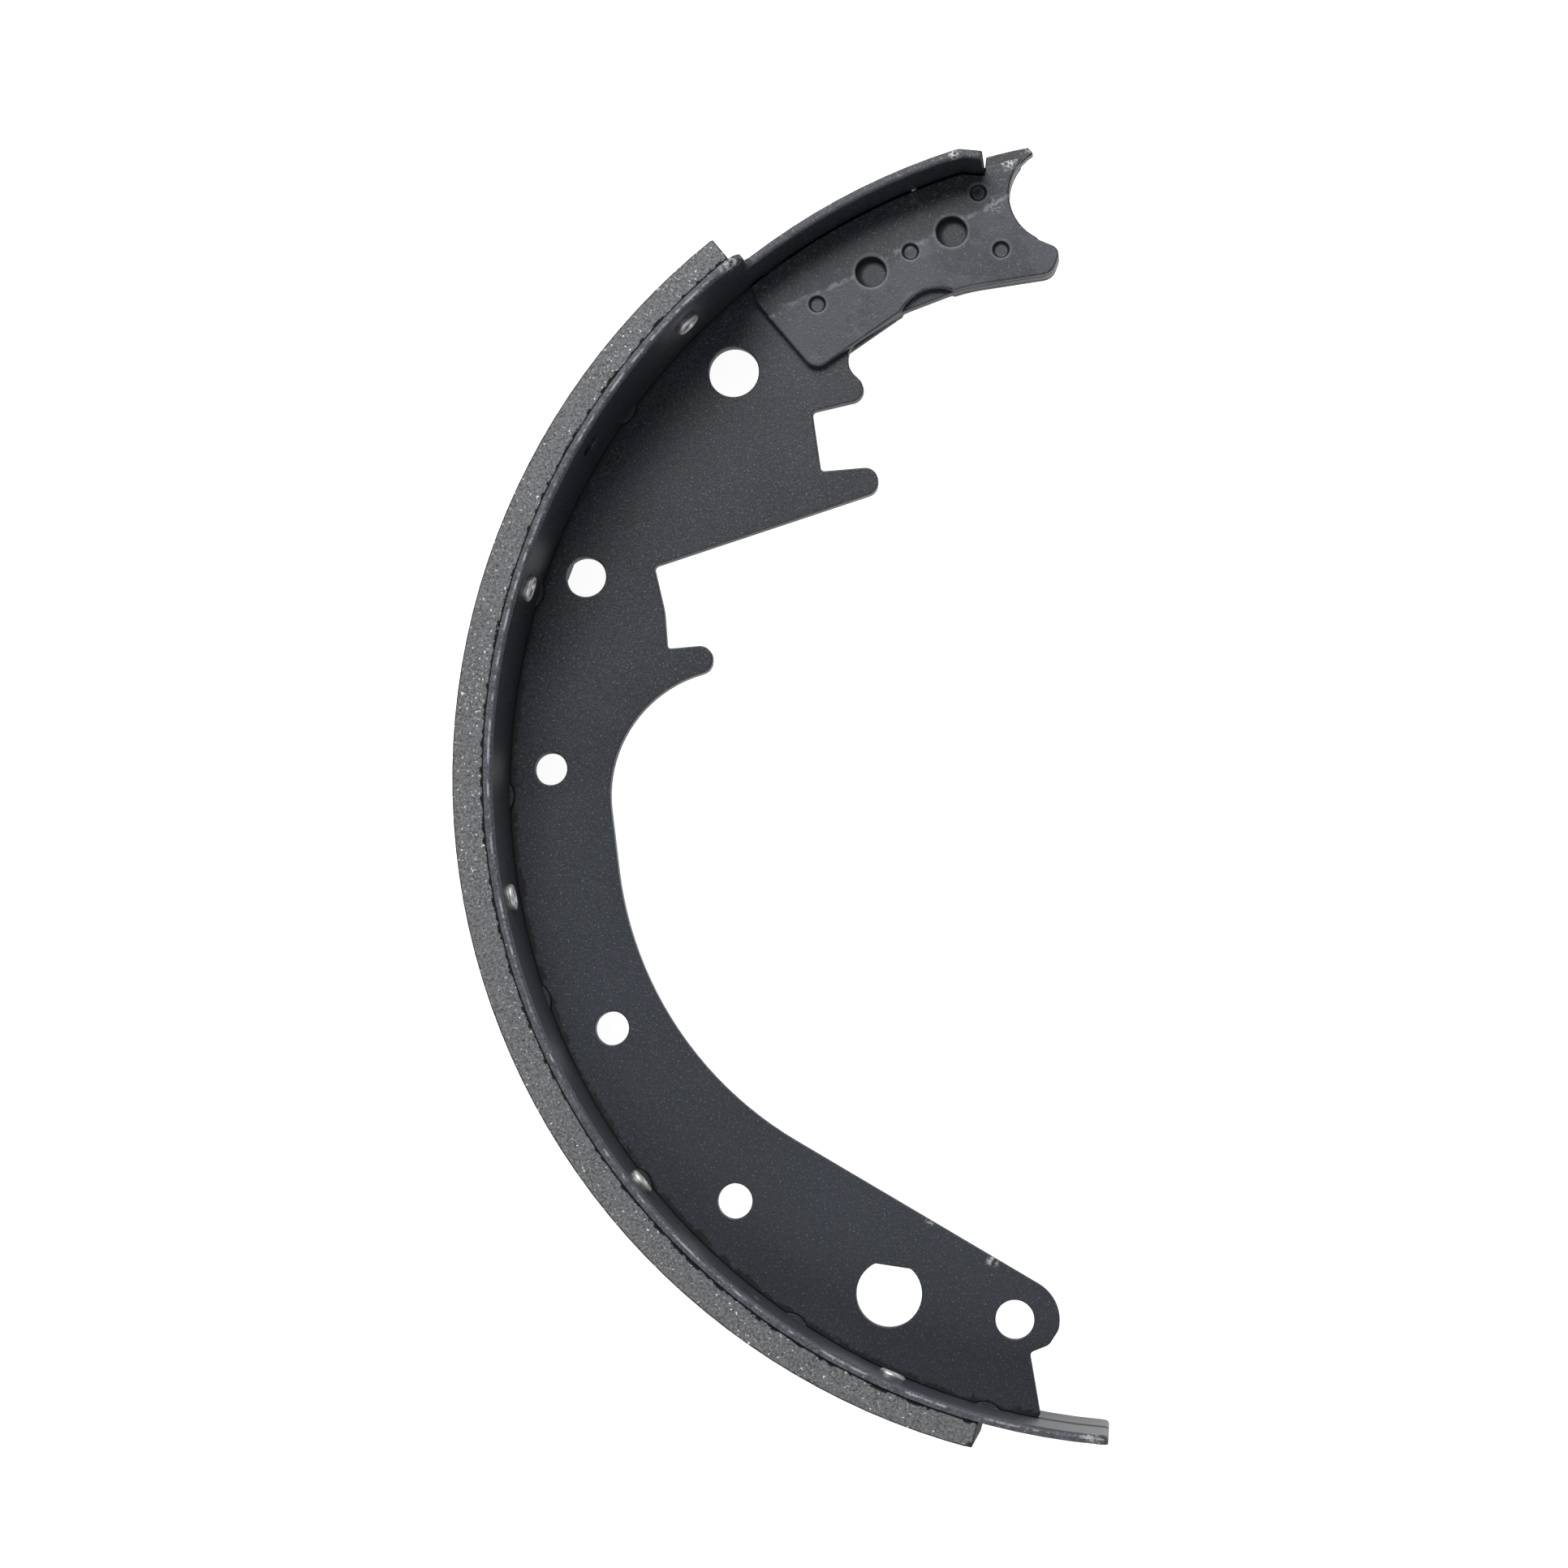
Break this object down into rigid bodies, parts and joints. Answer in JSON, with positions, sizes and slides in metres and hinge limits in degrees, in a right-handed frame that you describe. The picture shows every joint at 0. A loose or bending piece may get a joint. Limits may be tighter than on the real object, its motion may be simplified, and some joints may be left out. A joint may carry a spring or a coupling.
{
  "type": "brake shoe",
  "caption": "Curved drum brake shoe: a stamped web with notches and holes welded to a rolled table, reinforced at the anchor end, with a thick friction lining riveted on.",
  "frame": {"origin": "centre of the shoe's outline seen from above, at the height of the table's lower edge, on which the shoe lies", "axes": "+Z across the shoe, square to the web; +Y along the shoe's chord towards the anchor end; +X towards the open side, where the wheel hub is"},
  "size_m": [0.1316, 0.2678, 0.0508],
  "materials": {
    "black_paint": "satin black dip paint on pressed steel, worn through at a few edges",
    "friction_lining": "rough matt moulded friction composite, grey with fine bright and dark specks",
    "rivet_steel": "bright zinc plate"
  },
  "bodies": {
    "root": {"web": "black_paint", "table": "black_paint", "anchor_plate_upper": "black_paint", "anchor_plate_lower": "black_paint", "lining": "friction_lining", "rivet_upper_1": "rivet_steel", "rivet_upper_2": "rivet_steel", "rivet_upper_3": "rivet_steel", "rivet_upper_4": "rivet_steel", "rivet_upper_5": "rivet_steel", "rivet_lower_1": "rivet_steel", "rivet_lower_2": "rivet_steel", "rivet_lower_3": "rivet_steel", "rivet_lower_4": "rivet_steel", "rivet_lower_5": "rivet_steel"}
  },
  "joints": []
}
